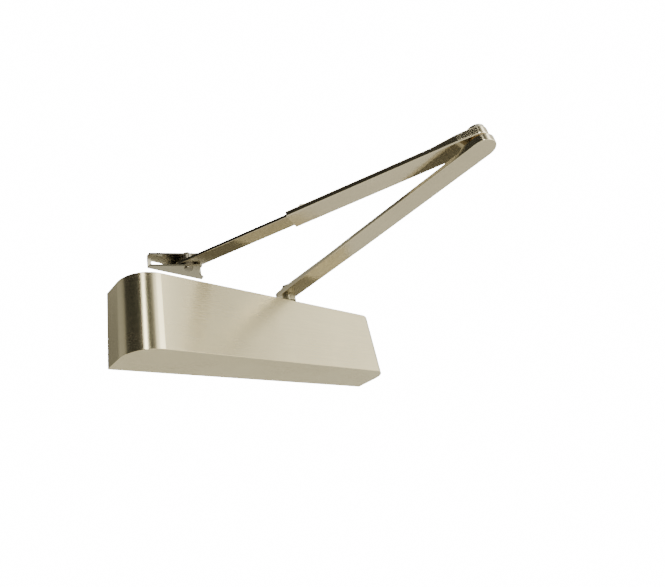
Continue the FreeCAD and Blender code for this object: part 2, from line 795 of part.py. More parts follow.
def make_main_arm():
    thickest = max(arm_hub_t, arm_elbow_t)
    arm = plate_from(arm_outline(arm_z), thickest)
    arm = arm.makeFillet(arm_edge_r, edges_at_z(arm, arm_z))
    x = spindle_x - 2 * arm_half_width
    far = axis_y + 2 * arm_hub_reach
    near = elbow_y - 2 * arm_elbow_half_width
    low = arm_z - over
    top = arm_z + arm_t
    boss_start = elbow_y + arm_elbow_half_width
    side = [
        V(x, far, low), V(x, far, hub_top), V(x, axis_y - arm_hub_flat, hub_top),
        V(x, axis_y - arm_hub_end, top), V(x, boss_start + arm_step_length, top),
        V(x, boss_start, elbow_top), V(x, near, elbow_top), V(x, near, low), V(x, far, low),
    ]
    profile = Part.Face(Part.makePolygon(side)).extrude(X_DIR * 4 * arm_half_width)
    arm = arm.common(profile)
    half = square_width / 2 + seat_gap
    arm = arm.cut(box(spindle_x - half, spindle_x + half, axis_y - half, axis_y + half, low, hub_top + over))
    thread = rod_z_at(elbow_top - elbow_thread_depth, elbow_top + over, spindle_x, elbow_y, arm_screw_r)
    return arm.cut(thread)


def make_arm_washer():
    hole_r = arm_screw_r + screw_hole_gap
    return ring_z(hub_top, hub_top + arm_washer_t, spindle_x, axis_y, arm_washer_r, hole_r)


def make_arm_screw():
    seat = hub_top + arm_washer_t
    shank = rod_z_at(seat - arm_screw_length, seat, spindle_x, axis_y, arm_screw_r - seat_gap)
    head = hexagon(V(spindle_x, axis_y, seat), Z_DIR, arm_screw_head_width, arm_screw_head_t)
    return shank.fuse(head)


def make_elbow_screw():
    thread_bottom = elbow_top - elbow_thread_depth + elbow_thread_gap
    shoulder_top = nose_top + elbow_head_gap
    head_top = shoulder_top + elbow_head_t
    thread = rod_z_at(thread_bottom, elbow_top, spindle_x, elbow_y, arm_screw_r - seat_gap)
    shoulder = rod_z_at(elbow_top, shoulder_top, spindle_x, elbow_y, elbow_shoulder_r)
    head = rod_z_at(shoulder_top, head_top, spindle_x, elbow_y, elbow_head_r)
    head = head.makeFillet(elbow_head_edge_r, edges_at_z(head, head_top))
    key = hexagon(V(spindle_x, elbow_y, head_top), V(0, 0, -1), elbow_key_width, elbow_key_depth)
    return thread.fuse([shoulder, head]).cut(key)


def make_elbow_bush():
    flange = rod_z_at(elbow_top + face_gap, sleeve_z, spindle_x, elbow_y, bush_flange_r)
    tube = rod_z_at(sleeve_z, nose_top, spindle_x, elbow_y, bush_r)
    hole = rod_z_at(elbow_top, nose_top + over, spindle_x, elbow_y, elbow_shoulder_r + running)
    return flange.fuse(tube).cut(hole)


def on_forearm(shape):
    """Turn a piece made along +Y from the origin into the forearm's line."""
    placed = shape.copy()
    placed.rotate(V(0, 0, 0), Z_DIR, forearm_angle)
    placed.translate(elbow)
    return placed


def sleeve_outline(z):
    """Plan outline of the sleeve along +Y, with its rounded nose about the elbow."""
    half, nose = sleeve_width / 2, sleeve_nose_r
    return [
        line(V(-nose, 0, z), V(-half, sleeve_nose_taper, z)),
        line(V(-half, sleeve_nose_taper, z), V(-half, sleeve_length, z)),
        line(V(-half, sleeve_length, z), V(half, sleeve_length, z)),
        line(V(half, sleeve_length, z), V(half, sleeve_nose_taper, z)),
        line(V(half, sleeve_nose_taper, z), V(nose, 0, z)),
        arc(V(nose, 0, z), V(0, -nose, z), V(-nose, 0, z)),
    ]


def make_forearm_sleeve():
    half, nose = sleeve_width / 2, sleeve_nose_r
    sleeve = plate_from(sleeve_outline(sleeve_z), sleeve_nose_t)
    left, near, far = -half - over, -nose - over, sleeve_length + over
    low = sleeve_z - over
    side = [
        V(left, near, low), V(left, near, nose_top), V(left, nose, nose_top),
        V(left, nose + sleeve_nose_length, sleeve_top), V(left, far, sleeve_top),
        V(left, far, low), V(left, near, low),
    ]
    profile = Part.Face(Part.makePolygon(side)).extrude(X_DIR * (sleeve_width + 2 * over))
    bottom = edges_at_z(sleeve, sleeve_z, sleeve_length)
    sleeve = sleeve.makeFillet(sleeve_edge_r, bottom).common(profile)
    sleeve = sleeve.makeFillet(sleeve_edge_r, rim_edges(sleeve, sleeve_top - tiny, sleeve_length))
    cavity_half = rod_width / 2 + rod_side_gap
    cavity = box(-cavity_half, cavity_half, sleeve_cavity_start, far,
                 sleeve_z + sleeve_wall, sleeve_top - sleeve_wall)
    pad = rod_z_at(sleeve_top - sleeve_wall / 2, sleeve_top + clamp_pad_t, 0, clamp_y, clamp_pad_r)
    clamp_hole = rod_z_at(sleeve_top - 2 * sleeve_wall, sleeve_top + clamp_pad_t + over, 0, clamp_y,
                          clamp_r + running)
    sleeve = sleeve.fuse(pad).cut(cavity).cut(clamp_hole)
    sleeve = sleeve.cut(rod_z_at(low, nose_top + over, 0, 0, bush_r + seat_gap))
    return on_forearm(sleeve)


def make_clamp_screw():
    seat = sleeve_top + clamp_pad_t + face_gap
    shank = rod_z_at(rod_top + face_gap, seat, 0, clamp_y, clamp_r)
    head = hexagon(V(0, clamp_y, seat), Z_DIR, clamp_head_width, clamp_head_t)
    return on_forearm(shank.fuse(head))


def make_forearm_rod():
    start = sleeve_length - rod_overlap
    end = forearm_length + rod_end_past_pin
    half = rod_width / 2
    bar = rounded_block(-half, half, start, end, rod_z, rod_top, rod_end_corner_r, Z_DIR)
    bar = bar.makeFillet(rod_edge_r, edges_at_z(bar, rod_z) + edges_at_z(bar, rod_top))
    eye = rod_z_at(rod_z - over, rod_top + over, 0, forearm_length, shoe_pin_r + running)
    return on_forearm(bar.cut(eye))


def ear_outline(z):
    """Plan outline of one ear of the shoe, from the frame to its tip beside the pin."""
    pin = shoe_pin_at
    back = shoe_back_y
    tip_y = pin.y - ear_tip_out
    left_back = V(shoe_left, back, z)
    left_front = V(shoe_left, back - ear_left_depth, z)
    tip_left = V(pin.x + ear_tip_left, tip_y, z)
    tip_mid = V(pin.x + ear_tip_mid, tip_y - ear_tip_bulge, z)
    tip_right = V(pin.x + ear_tip_right, tip_y + ear_tip_back, z)
    notch = V(pin.x + ear_notch_right, pin.y + ear_notch_back, z)
    right_front = V(shoe_right - ear_right_lean, back - ear_right_depth, z)
    right_back = V(shoe_right, back, z)
    return [
        line(left_back, left_front),
        line(left_front, tip_left),
        arc(tip_left, tip_mid, tip_right),
        arc(tip_right, notch, right_front),
        line(right_front, right_back),
        line(right_back, left_back),
    ]


def make_shoe():
    shoe = plate_from(ear_outline(shoe_bottom), shoe_height)
    web_y = shoe_back_y - shoe_sheet_t
    front_y = shoe_pin_at.y - 2 * ear_tip_out
    gap = box(shoe_left - over, shoe_right + over, front_y, web_y,
              shoe_bottom + shoe_sheet_t, shoe_top - shoe_sheet_t)
    shoe = shoe.cut(gap)
    bends = [e for e in shoe.Edges if e.BoundBox.YLength < tiny and e.BoundBox.ZLength < tiny
             and abs(e.BoundBox.YMin - shoe_back_y) < tiny]
    shoe = shoe.makeFillet(shoe_sheet_t * shoe_bend_share, bends)
    slot_r = shoe_slot_width / 2
    straight = shoe_slot_length / 2 - slot_r
    slot_z = shoe_bottom + shoe_slot_rise
    low, high = web_y - over, shoe_back_y + over
    for x in (shoe_left + shoe_slot_inset, shoe_right - shoe_slot_inset):
        shoe = shoe.cut(box(x - straight, x + straight, low, high, slot_z - slot_r, slot_z + slot_r))
        for side in (-1, 1):
            shoe = shoe.cut(rod_y(low, high, x + side * straight, slot_z, slot_r))
    pin = shoe_pin_at
    return shoe.cut(rod_z_at(shoe_bottom - over, shoe_top + over, pin.x, pin.y, shoe_pin_r + seat_gap))


def make_shoe_pin():
    pin = shoe_pin_at
    head_bottom = shoe_bottom - shoe_pin_head_t
    shank = rod_z_at(shoe_bottom, shoe_top + pin_past_ear, pin.x, pin.y, shoe_pin_r)
    head = rod_z_at(head_bottom, shoe_bottom, pin.x, pin.y, shoe_pin_head_r)
    head = head.makeFillet(shoe_pin_head_edge_r, edges_at_z(head, head_bottom))
    groove_z = shoe_top + clip_above
    groove = ring_z(groove_z, groove_z + clip_t, pin.x, pin.y, shoe_pin_r + over, clip_groove_r)
    return shank.fuse(head).cut(groove)


def make_pin_clip():
    pin = shoe_pin_at
    low = shoe_top + clip_above + seat_gap
    high = low + clip_t - 2 * seat_gap
    clip = ring_z(low, high, pin.x, pin.y, clip_r, clip_groove_r + seat_gap)
    mouth = box(pin.x - clip_mouth_half, pin.x + clip_mouth_half, pin.y - clip_r - over, pin.y,
                low - over, high + over)
    return clip.cut(mouth)


def make_pin_spacers():
    pin = shoe_pin_at
    inner = shoe_pin_r + seat_gap
    low = ring_z(shoe_bottom + shoe_sheet_t, rod_z - face_gap, pin.x, pin.y, spacer_r, inner)
    high = ring_z(rod_top + face_gap, shoe_top - shoe_sheet_t, pin.x, pin.y, spacer_r, inner)
    return Part.makeCompound([low, high])


def make_valve(name):
    """Needle screw with a slotted head just proud of the end face."""
    y, z = valve_places[name]
    start = body_right - valve_length + valve_tip_gap
    top = body_right + valve_proud
    screw = rod_x(start + valve_tip_length, top, y, z, valve_r)
    tip = Part.makeCone(valve_tip_r, valve_r, valve_tip_length, V(start, y, z), X_DIR)
    groove = ring_x(valve_seal_x - valve_groove_half, valve_seal_x + valve_groove_half, y, z,
                    valve_r + over, valve_r - 2 * valve_seal_r)
    half = valve_slot_width / 2
    slot = box(top - valve_slot_depth, top + over, y - valve_r - over, y + valve_r + over, z - half, z + half)
    return screw.fuse(tip).cut(groove).cut(slot)


def make_valve_seal(name):
    y, z = valve_places[name]
    return seal_ring(V(valve_seal_x, y, z), X_DIR, valve_r - valve_seal_r, valve_seal_r)


pieces = {
    "cover": make_cover(),
    "mounting_plate": make_mounting_plate(),
    "cover_brackets": make_cover_brackets(),
    "bracket_screws": make_bracket_screws(),
    "cylinder_body": make_cylinder_body(),
    "body_screws": make_body_screws(),
    "upper_bearing": make_bearing(1),
    "lower_bearing": make_bearing(-1),
    "upper_bearing_cap": make_bearing_cap(1),
    "lower_bearing_cap": make_bearing_cap(-1),
    "shaft_seals": make_shaft_seals(),
    "valve_end_plug": make_valve_end_plug(),
    "spring_end_plug": make_spring_end_plug(),
    "plug_seals": make_plug_seals(),
    "closing_spring": make_closing_spring(),
    "spring_seat": make_spring_seat(),
    "spring_adjuster": make_spring_adjuster(),
    "piston": make_piston(),
    "piston_rings": make_piston_rings(),
    "check_valve_ball": make_check_ball(),
    "check_valve_clip": make_check_clip(),
    "pinion_shaft": make_pinion_shaft(),
    "spindle_collar": make_spindle_collar(),
    "main_arm": make_main_arm(),
    "arm_washer": make_arm_washer(),
    "arm_screw": make_arm_screw(),
    "elbow_screw": make_elbow_screw(),
    "elbow_bush": make_elbow_bush(),
    "forearm_sleeve": make_forearm_sleeve(),
    "clamp_screw": make_clamp_screw(),
    "forearm_rod": make_forearm_rod(),
    "shoe": make_shoe(),
    "shoe_pin": make_shoe_pin(),
    "pin_clip": make_pin_clip(),
    "pin_spacers": make_pin_spacers(),
}
for valve_name in valve_places:
    pieces[valve_name] = make_valve(valve_name)
    pieces[valve_name + "_seal"] = make_valve_seal(valve_name)

os.makedirs("parts", exist_ok=True)
for name, shape in pieces.items():
    shape.exportStep("parts/" + name + ".step")
    print(name, "solids", len(shape.Solids), "valid", shape.isValid(), "volume", round(shape.Volume, 1))
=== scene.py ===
import math

import bpy
from mathutils import Euler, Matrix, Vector


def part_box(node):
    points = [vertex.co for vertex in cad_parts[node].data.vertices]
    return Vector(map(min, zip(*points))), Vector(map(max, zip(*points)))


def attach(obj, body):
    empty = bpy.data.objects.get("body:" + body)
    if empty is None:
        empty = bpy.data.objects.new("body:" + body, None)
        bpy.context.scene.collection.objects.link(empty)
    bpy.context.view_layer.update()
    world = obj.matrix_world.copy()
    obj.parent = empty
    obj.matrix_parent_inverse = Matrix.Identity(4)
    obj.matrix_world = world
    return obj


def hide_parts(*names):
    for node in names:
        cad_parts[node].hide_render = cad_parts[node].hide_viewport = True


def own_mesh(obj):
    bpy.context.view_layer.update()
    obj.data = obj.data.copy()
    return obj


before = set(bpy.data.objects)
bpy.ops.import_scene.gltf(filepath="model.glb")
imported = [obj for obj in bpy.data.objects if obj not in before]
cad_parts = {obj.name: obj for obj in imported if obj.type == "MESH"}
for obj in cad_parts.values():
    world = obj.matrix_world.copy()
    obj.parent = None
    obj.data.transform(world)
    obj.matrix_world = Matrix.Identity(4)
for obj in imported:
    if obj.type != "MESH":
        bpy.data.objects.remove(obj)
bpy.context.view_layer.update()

# An overhead door closer seen from below, in front and to the left, in metres.
# +X runs along the closer to its valve end, -Y points away from the door, +Z is up.

MM = 0.001

# Camera, found from the straight edges of the cover in the photograph
camera_place = Vector((-283.63, -363.62, -188.23)) * MM
camera_turn = Euler([math.radians(a) for a in (117.191, 12.084, -42.632)])
camera_lens = 27.55
camera_shift_y = -0.0023
camera_near = 10.0 * MM

# Closing spring, between its seat and the piston
spring_turns = 9
wire_radius = 1.9 * MM
coil_radius = 10.9 * MM
spring_seat_face = -90.0 * MM
piston_face = 4.9 * MM
spring_gap = 0.1 * MM
spring_start = spring_seat_face + wire_radius + spring_gap
spring_end = piston_face - wire_radius - spring_gap
wire_sides = 16
steps_per_turn = 48
spring_smooth_angle = 40

# Collar under the main arm, with a skirt below it round the neck of the spindle
collar_radius = 6.5 * MM
collar_bore_radius = 4.82 * MM
skirt_bore_radius = 5.25 * MM
skirt_length = 5.3 * MM
foot_bevel = 0.9 * MM
foot_bevel_steps = 2
edge_bevel = 0.25 * MM
edge_bevel_steps = 3
collar_sides = 96
collar_smooth_angle = 30

# How near a point must be to a place to be picked there, and to another point to be merged with it
pick_reach = 0.01 * MM
merge_reach = 0.001 * MM

# Brushing directions, in degrees from +X
along_cover = 0.0
along_main_arm = 90.0
along_forearm = 114.93

# Heights above and below the bore's axis from which the cast body is machined
machined_from = 26.2 * MM
machined_fully = 26.8 * MM

# Room: brightness by direction in degrees from +X, near eye level, high up and low down
room_top = 15.0
eye_levels = [
    (-180, 0.03), (-143, 0.02), (-135, 0.1), (-131, 15.0), (-126, 15.0), (-121, 0.2), (-109, 0.08),
    (-96, 0.06), (-90, 3.4), (-66, 3.0), (-60, 1.05), (-55, 1.2), (-47, 2.3), (-20, 2.3), (20, 0.8),
    (110, 0.15), (124, 0.5), (154, 0.52), (164, 0.06),
]
high_levels = [
    (-180, 0.03), (-108, 0.03), (-90, 1.1), (-20, 1.2), (0, 0.1), (80, 0.1), (112, 0.38), (136, 0.32),
    (150, 0.03),
]
low_levels = [
    (-180, 0.4), (-130, 0.5), (-112, 0.9), (-95, 3.2), (-45, 3.2), (-20, 1.2), (110, 1.1), (155, 0.5),
]
overhead_level = 1.1
backdrop_level = 16.0
room_tint = (1.0, 0.965, 0.75)
white = (1.0, 1.0, 1.0)

# Heights, as the sine of the elevation, between which one level of the room gives way to the next
low_to_eye = (-0.15, 0.05)
eye_to_high = (0.46, 0.54)
high_to_overhead = (0.8, 0.92)

floor_size = 3.4
floor_height = -0.6


def add_camera():
    data = bpy.data.cameras.new("camera")
    data.lens = camera_lens
    data.shift_y = camera_shift_y
    data.clip_start = camera_near
    camera = bpy.data.objects.new("camera", data)
    camera.location = camera_place
    camera.rotation_euler = camera_turn
    bpy.context.collection.objects.link(camera)
    bpy.context.scene.camera = camera


# Nodes

def feed(tree, value, socket):
    if isinstance(value, bpy.types.NodeSocket):
        tree.links.new(value, socket)
    elif value is not None:
        socket.default_value = value


def calculate(tree, operation, first, second=None, third=None):
    node = tree.nodes.new("ShaderNodeMath")
    node.operation = operation
    for value, socket in zip((first, second, third), node.inputs):
        feed(tree, value, socket)
    return node.outputs[0]


def fade(tree, amount, first, second):
    """The first where the amount is 0, and the second where it is 1."""
    return calculate(tree, "MULTIPLY_ADD", amount, calculate(tree, "SUBTRACT", second, first), first)


def average(tree, first, second, share=0.5):
    """The first by its share, and the second by the rest."""
    rest = calculate(tree, "MULTIPLY", second, 1 - share)
    return calculate(tree, "MULTIPLY_ADD", first, share, rest)


def ease(tree, value, low=0.0, high=1.0, to_low=0.0, to_high=1.0):
    node = tree.nodes.new("ShaderNodeMapRange")
    node.interpolation_type = "SMOOTHSTEP"
    for name, number in (("Value", value), ("From Min", low), ("From Max", high),
                         ("To Min", to_low), ("To Max", to_high)):
        feed(tree, number, node.inputs[name])
    return node.outputs["Result"]


def split(tree, vector):
    node = tree.nodes.new("ShaderNodeSeparateXYZ")
    feed(tree, vector, node.inputs[0])
    return node.outputs


def combine(tree, x, y, z):
    node = tree.nodes.new("ShaderNodeCombineXYZ")
    for value, socket in zip((x, y, z), node.inputs):
        feed(tree, value, socket)
    return node.outputs[0]


def noise(tree, vector, scale, detail=2.0, roughness=0.5):
    node = tree.nodes.new("ShaderNodeTexNoise")
    for name, value in (("Vector", vector), ("Scale", scale), ("Detail", detail), ("Roughness", roughness)):
        feed(tree, value, node.inputs[name])
    return node.outputs["Fac"]


def lined_noise(tree, along, along_scale, across, across_scale, layer, detail=2.0, roughness=0.5):
    """Noise drawn out into lines: it changes slowly along them and fast across them."""
    place = combine(tree, calculate(tree, "MULTIPLY", along, along_scale),
                    calculate(tree, "MULTIPLY", across, across_scale), layer)
    return noise(tree, place, 1.0, detail, roughness)


def blend(tree, amount, first, second):
    node = tree.nodes.new("ShaderNodeMix")
    node.data_type = "RGBA"
    feed(tree, amount, node.inputs["Factor"])
    for value, socket in zip((first, second), (node.inputs[6], node.inputs[7])):
        feed(tree, value if isinstance(value, bpy.types.NodeSocket) else (*value, 1), socket)
    return node.outputs[2]


def bump(tree, height, strength, depth):
    node = tree.nodes.new("ShaderNodeBump")
    feed(tree, height, node.inputs["Height"])
    node.inputs["Strength"].default_value = strength
    node.inputs["Distance"].default_value = depth
    return node.outputs[0]


def turned(tree, vector, turn=(0, 0, 0), centre=(0, 0, 0)):
    node = tree.nodes.new("ShaderNodeMapping")
    node.vector_type = "TEXTURE"
    node.inputs["Rotation"].default_value = turn
    node.inputs["Location"].default_value = centre
    feed(tree, vector, node.inputs["Vector"])
    return node.outputs[0]


# Effects that several materials share

def new_group(name, inputs, outputs):
    group = bpy.data.node_groups.new(name, "ShaderNodeTree")
    for label, kind, value in inputs:
        socket = group.interface.new_socket(label, in_out="INPUT", socket_type="NodeSocket" + kind)
        if value is not None:
            socket.default_value = value
    for label in outputs:
        group.interface.new_socket(label, in_out="OUTPUT", socket_type="NodeSocketFloat")
    return group, group.nodes.new("NodeGroupInput").outputs, group.nodes.new("NodeGroupOutput").inputs


def use_group(tree, group, **values):
    node = tree.nodes.new("ShaderNodeGroup")
    node.node_tree = group
    for name, value in values.items():
        feed(tree, value, node.inputs[name])
    return node.outputs


def top_mask(tree, lift):
    """Where a piece is brushed as its top and bottom are, from how far a face turns up or down."""
    return ease(tree, lift, 0.55, 0.85)


def build_brushed_grain():
    """Fine parallel lines along X on every side of a piece, and a mask of its rounded rims."""
    tree, given, result = new_group(
        "brushed_grain",
        [("Vector", "Vector", None), ("Normal", "Vector", None),
         ("Lines", "Float", 4200.0), ("Streaks", "Float", 700.0)],
        ["Height", "Shade", "Rim"])
    x, y, z = split(tree, given["Vector"])
    lift = calculate(tree, "ABSOLUTE", split(tree, given["Normal"])["Z"])
    flat = top_mask(tree, lift)
    upright = calculate(tree, "SUBTRACT", 1.0, flat)
    across = fade(tree, flat, z, y)
    along = calculate(tree, "SUBTRACT", x, calculate(tree, "MULTIPLY", upright, y))
    fine = lined_noise(tree, along, 70.0, across, given["Lines"], layer=0.0, detail=3.0, roughness=0.6)
    coarse = lined_noise(tree, along, 14.0, across, given["Streaks"], layer=3.7)
    both = average(tree, fine, coarse, share=0.65)
    feed(tree, both, result["Height"])
    feed(tree, ease(tree, both, 0.36, 0.64), result["Shade"])
    off_side = ease(tree, lift, 0.05, 0.35)
    off_top = ease(tree, lift, 0.8, 0.99, to_low=1.0, to_high=0.0)
    feed(tree, calculate(tree, "MULTIPLY", off_side, off_top), result["Rim"])
    return tree


def build_turning_marks():
    """Fine rings about the Z axis of a turned piece."""
    tree, given, result = new_group(
        "turning_marks",
        [("Vector", "Vector", None), ("Normal", "Vector", None), ("Rings", "Float", 3500.0)],
        ["Height", "Shade"])
    x, y, z = split(tree, given["Vector"])
    square = calculate(tree, "MULTIPLY_ADD", x, x, calculate(tree, "MULTIPLY", y, y))
    radius = calculate(tree, "SQRT", square)
    lift = calculate(tree, "ABSOLUTE", split(tree, given["Normal"])["Z"])
    across = fade(tree, ease(tree, lift, 0.4, 0.8), z, radius)
    around = calculate(tree, "ARCTAN2", y, x)
    fine = lined_noise(tree, around, 0.8, across, given["Rings"], layer=1.3)
    feed(tree, fine, result["Height"])
    feed(tree, ease(tree, fine, 0.35, 0.65), result["Shade"])
    return tree


def build_handling():
    """Slow cloudy change over a surface, and small scattered marks."""
    tree, given, result = new_group(
        "handling", [("Vector", "Vector", None), ("Size", "Float", 18.0)], ["Cloud", "Marks"])
    cloud = noise(tree, given["Vector"], given["Size"], detail=3.0, roughness=0.55)
    spots = noise(tree, given["Vector"], scale=900.0)
    feed(tree, ease(tree, cloud, 0.3, 0.7), result["Cloud"])
    feed(tree, ease(tree, spots, 0.66, 0.76), result["Marks"])
    return tree


def build_cast_skin():
    """Sand-cast grain with small pits."""
    tree, given, result = new_group(
        "cast_skin", [("Vector", "Vector", None), ("Grain", "Float", 900.0)], ["Height", "Pits"])
    grain = noise(tree, given["Vector"], given["Grain"], detail=4.0, roughness=0.65)
    lumps = noise(tree, given["Vector"], scale=160.0)
    pits = ease(tree, noise(tree, given["Vector"], scale=420.0, detail=1.0), 0.68, 0.78)
    skin = calculate(tree, "MULTIPLY_ADD", lumps, 0.6, grain)
    feed(tree, calculate(tree, "MULTIPLY_ADD", pits, -0.8, skin), result["Height"])
    feed(tree, pits, result["Pits"])
    return tree


brushed_grain = build_brushed_grain()
turning_marks = build_turning_marks()
handling = build_handling()
cast_skin = build_cast_skin()


# Materials

def new_material(name, colour, roughness, metallic=1.0):
    material = bpy.data.materials.new(name)
    material.use_nodes = True
    tree = material.node_tree
    shader = tree.nodes["Principled BSDF"].inputs
    shader["Base Color"].default_value = (*colour, 1)
    shader["Roughness"].default_value = roughness
    shader["Metallic"].default_value = metallic
    return material, tree, shader, tree.nodes.new("ShaderNodeTexCoord").outputs


def scaled(colour, factor):
    return tuple(min(1.0, c * factor) for c in colour)


def weaker(tree, mask, strength):
    return calculate(tree, "MULTIPLY", mask, strength)


def brushing_line(tree, facing):
    """Level direction in the surface of a piece brushed along X, along X itself on its top and bottom."""
    x, y, z = split(tree, facing)
    flat = top_mask(tree, calculate(tree, "ABSOLUTE", z))
    along = calculate(tree, "ADD", calculate(tree, "ABSOLUTE", y), flat)
    side = calculate(tree, "MULTIPLY_ADD", calculate(tree, "GREATER_THAN", y, 0.0), -2.0, 1.0)
    return combine(tree, along, calculate(tree, "MULTIPLY", x, side), 0.0)


def brushed_nickel(name, direction, light, dark, smooth=0.16, rough=0.22, relief=0.4, stretch=0.4,
                   straight=False):
    """Satin nickel plate over brushed steel."""
    material, tree, shader, coordinates = new_material(name, light, rough)
    turn = (0, 0, math.radians(direction))
    place = turned(tree, coordinates["Object"], turn)
    facing = turned(tree, coordinates["Normal"], turn)
    grain = use_group(tree, brushed_grain, Vector=place, Normal=facing)
    wear = use_group(tree, handling, Vector=place)
    colour = blend(tree, average(tree, grain["Shade"], wear["Cloud"], share=0.45), dark, light)
    colour = blend(tree, weaker(tree, wear["Marks"], 0.25), colour, dark)
    # Rounded rims get a lighter colour: partly polish from handling, partly a painted edge highlight
    colour = blend(tree, weaker(tree, grain["Rim"], 0.7), colour, scaled(light, 1.12))
    feed(tree, colour, shader["Base Color"])
    finish = ease(tree, average(tree, grain["Shade"], wear["Cloud"]), to_low=rough, to_high=smooth)
    rim_polish = -0.07
    feed(tree, calculate(tree, "MULTIPLY_ADD", grain["Rim"], rim_polish, finish), shader["Roughness"])
    quarter_turn = 0.25
    shader["Anisotropic"].default_value = stretch
    shader["Anisotropic Rotation"].default_value = quarter_turn
    if straight:
        feed(tree, brushing_line(tree, facing), shader["Tangent"])
    feed(tree, bump(tree, grain["Height"], relief, 0.02 * MM), shader["Normal"])
    return material


def turned_metal(name, colour, centre, axis="Z", roughness=0.28):
    """Machined metal with rings about the axis of the piece."""
    material, tree, shader, coordinates = new_material(name, colour, roughness)
    turn = {"X": (0, math.radians(90), 0), "Z": (0, 0, 0)}[axis]
    place = turned(tree, coordinates["Object"], turn, centre)
    facing = turned(tree, coordinates["Normal"], turn)
    marks = use_group(tree, turning_marks, Vector=place, Normal=facing)
    wear = use_group(tree, handling, Vector=place, Size=120.0)
    shade = average(tree, marks["Shade"], wear["Cloud"])
    feed(tree, blend(tree, shade, scaled(colour, 0.78), colour), shader["Base Color"])
    finish = ease(tree, shade, to_low=roughness + 0.1, to_high=roughness - 0.05)
    feed(tree, finish, shader["Roughness"])
    feed(tree, bump(tree, marks["Height"], 0.3, 0.02 * MM), shader["Normal"])
    return material


def zinc_plate(name, colour, roughness=0.36):
    """Zinc plated pressed steel, slightly cloudy, with rolling lines."""
    material, tree, shader, coordinates = new_material(name, colour, roughness)
    place = coordinates["Object"]
    grain = use_group(tree, brushed_grain, Vector=place, Normal=coordinates["Normal"],
                      Lines=1800.0, Streaks=300.0)
    wear = use_group(tree, handling, Vector=place, Size=60.0)
    yellowing = (0.96, 0.92, 0.80)
    warm = tuple(c * y for c, y in zip(colour, yellowing))
    plate = blend(tree, wear["Cloud"], colour, warm)
    plate = blend(tree, weaker(tree, wear["Marks"], 0.5), plate, scaled(colour, 0.55))
    feed(tree, plate, shader["Base Color"])
    finish = ease(tree, grain["Shade"], to_low=roughness + 0.08, to_high=roughness - 0.06)
    feed(tree, finish, shader["Roughness"])
    feed(tree, bump(tree, grain["Height"], 0.2, 0.03 * MM), shader["Normal"])
    return material


def cast_iron(name, centre):
    """Grey cast iron with a sand-cast skin, machined on its ends and at its highest and lowest faces."""
    material, tree, shader, coordinates = new_material(name, colour=(0.16, 0.16, 0.165), roughness=0.6)
    place, facing = coordinates["Object"], coordinates["Normal"]
    skin = use_group(tree, cast_skin, Vector=place)
    marks = use_group(tree, turning_marks, Vector=turned(tree, place, centre=centre), Normal=facing)
    wear = use_group(tree, handling, Vector=place, Size=40.0)
    faces = split(tree, facing)
    level = ease(tree, calculate(tree, "ABSOLUTE", faces["Z"]), 0.9, 0.98)
    height = calculate(tree, "ABSOLUTE", split(tree, place)["Z"])
    top = calculate(tree, "MULTIPLY", level, ease(tree, height, machined_from, machined_fully))
    ends = ease(tree, calculate(tree, "ABSOLUTE", faces["X"]), 0.95, 0.99)
    machined = calculate(tree, "MAXIMUM", top, ends)
    raw = blend(tree, wear["Cloud"], (0.15, 0.15, 0.155), (0.25, 0.25, 0.245))
    raw = blend(tree, weaker(tree, skin["Pits"], 0.8), raw, (0.06, 0.055, 0.05))
    clean = blend(tree, marks["Shade"], (0.42, 0.42, 0.42), (0.56, 0.56, 0.55))
    feed(tree, blend(tree, machined, raw, clean), shader["Base Color"])
    feed(tree, ease(tree, machined, to_low=0.58, to_high=0.28), shader["Roughness"])
    rough_relief = calculate(tree, "MULTIPLY", skin["Height"], calculate(tree, "SUBTRACT", 1.0, machined))
    fine_relief = calculate(tree, "MULTIPLY", marks["Height"], machined)
    relief = calculate(tree, "MULTIPLY_ADD", fine_relief, 0.1, rough_relief)
    feed(tree, bump(tree, relief, 0.6, 0.18 * MM), shader["Normal"])
    return material


def oiled_spring():
    """Dark spring steel, shinier where its film of oil is thicker."""
    material, tree, shader, coordinates = new_material(
        "oiled_spring", colour=(0.16, 0.16, 0.17), roughness=0.3)
    place = coordinates["Object"]
    wear = use_group(tree, handling, Vector=place, Size=150.0)
    feed(tree, blend(tree, wear["Cloud"], (0.10, 0.10, 0.11), (0.24, 0.23, 0.22)), shader["Base Color"])
    feed(tree, ease(tree, wear["Cloud"], to_low=0.38, to_high=0.22), shader["Roughness"])
    feed(tree, bump(tree, noise(tree, place, scale=2500.0), 0.15, 0.03 * MM), shader["Normal"])
    return material


def sintered_bronze():
    """Bronze pressed from powder, with fine open pores."""
    material, tree, shader, coordinates = new_material(
        "sintered_bronze", colour=(0.62, 0.42, 0.2), roughness=0.4)
    place = coordinates["Object"]
    skin = use_group(tree, cast_skin, Vector=place, Grain=3000.0)
    wear = use_group(tree, handling, Vector=place, Size=150.0)
    solid = blend(tree, wear["Cloud"], (0.50, 0.33, 0.16), (0.68, 0.48, 0.25))
    feed(tree, blend(tree, skin["Pits"], solid, (0.16, 0.10, 0.05)), shader["Base Color"])
    feed(tree, ease(tree, skin["Height"], low=0.3, to_low=0.48, to_high=0.32), shader["Roughness"])
    feed(tree, bump(tree, skin["Height"], 0.3, 0.04 * MM), shader["Normal"])
    return material


def seal_rubber():
    """Black moulded rubber."""
    material, tree, shader, coordinates = new_material(
        "seal_rubber", colour=(0.02, 0.02, 0.02), roughness=0.5, metallic=0.0)
    place = coordinates["Object"]
    wear = use_group(tree, handling, Vector=place, Size=200.0)
    rubber = blend(tree, wear["Cloud"], (0.012, 0.012, 0.012), (0.035, 0.034, 0.033))
    feed(tree, rubber, shader["Base Color"])
    feed(tree, ease(tree, wear["Cloud"], to_low=0.38, to_high=0.6), shader["Roughness"])
    feed(tree, bump(tree, noise(tree, place, scale=3500.0), 0.3, 0.03 * MM), shader["Normal"])
    return material


